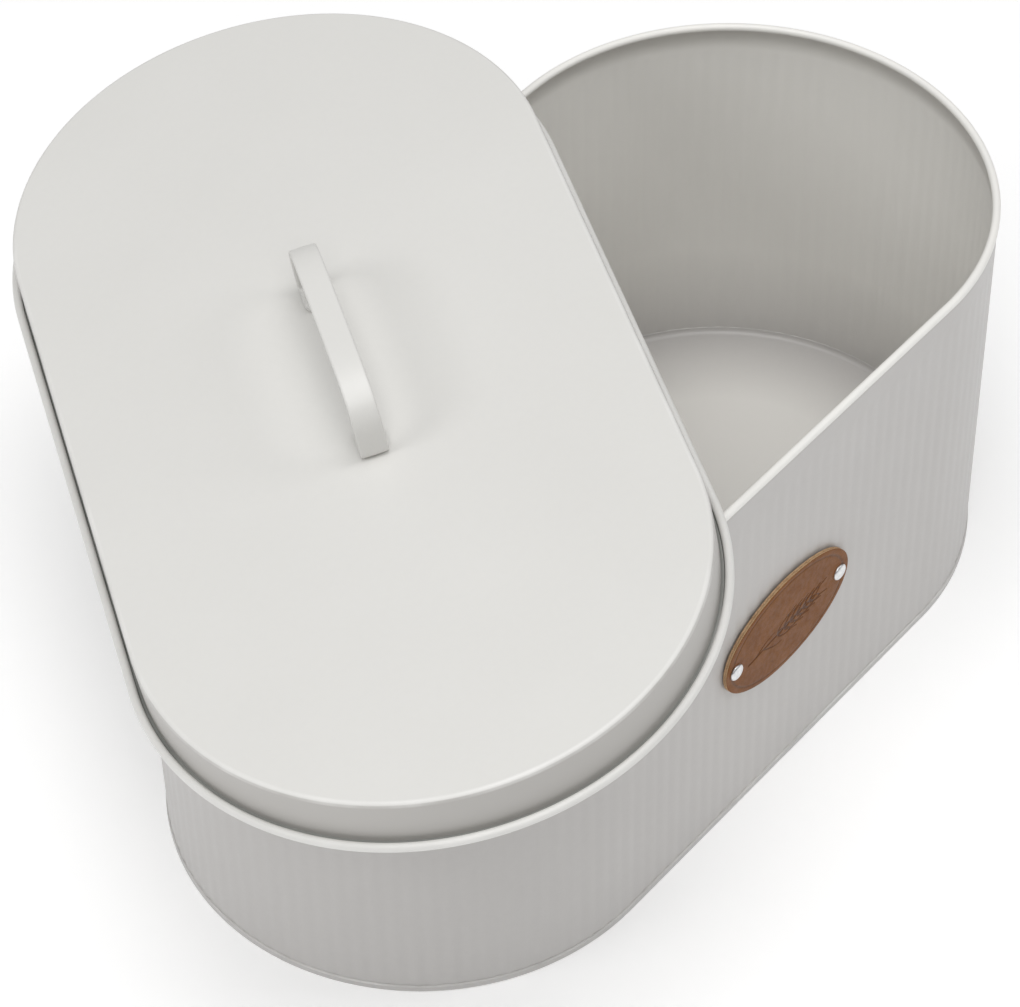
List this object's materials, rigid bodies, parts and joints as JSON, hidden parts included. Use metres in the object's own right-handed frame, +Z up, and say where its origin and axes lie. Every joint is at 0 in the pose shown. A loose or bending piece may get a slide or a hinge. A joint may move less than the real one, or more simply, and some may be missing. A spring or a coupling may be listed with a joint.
{
  "type": "bread box with lift-off lid",
  "caption": "Oblong ribbed tin box with a rolled rim, an oval leather tag, and a loose flat-topped lid with a strap handle.",
  "frame": {"origin": "middle of the base, on the table", "axes": "+X along the long side, -Y towards the leather tag, +Z up"},
  "size_m": [0.379, 0.3248, 0.1904],
  "materials": {
    "cream_paint": "satin",
    "tooled_leather": "satin",
    "leather_core": "matte",
    "bare_metal": "satin"
  },
  "bodies": {
    "box": {"body_wall": "cream_paint", "body_base": "cream_paint", "label_back": "leather_core", "label_face": "tooled_leather", "label_rivet_left": "bare_metal", "label_rivet_right": "bare_metal", "label_burr_left": "bare_metal", "label_burr_right": "bare_metal"},
    "lid": {"lid_pan": "cream_paint", "lid_hoop": "cream_paint", "handle_strap": "cream_paint", "handle_rivet_near": "cream_paint", "handle_rivet_far": "cream_paint", "handle_burr_near": "bare_metal", "handle_burr_far": "bare_metal"}
  },
  "joints": [
    {"name": "lid_lift", "type": "slide", "parent": "box", "child": "lid", "axis": [0, 0, 1], "range_m": [0, 0.08]}
  ]
}
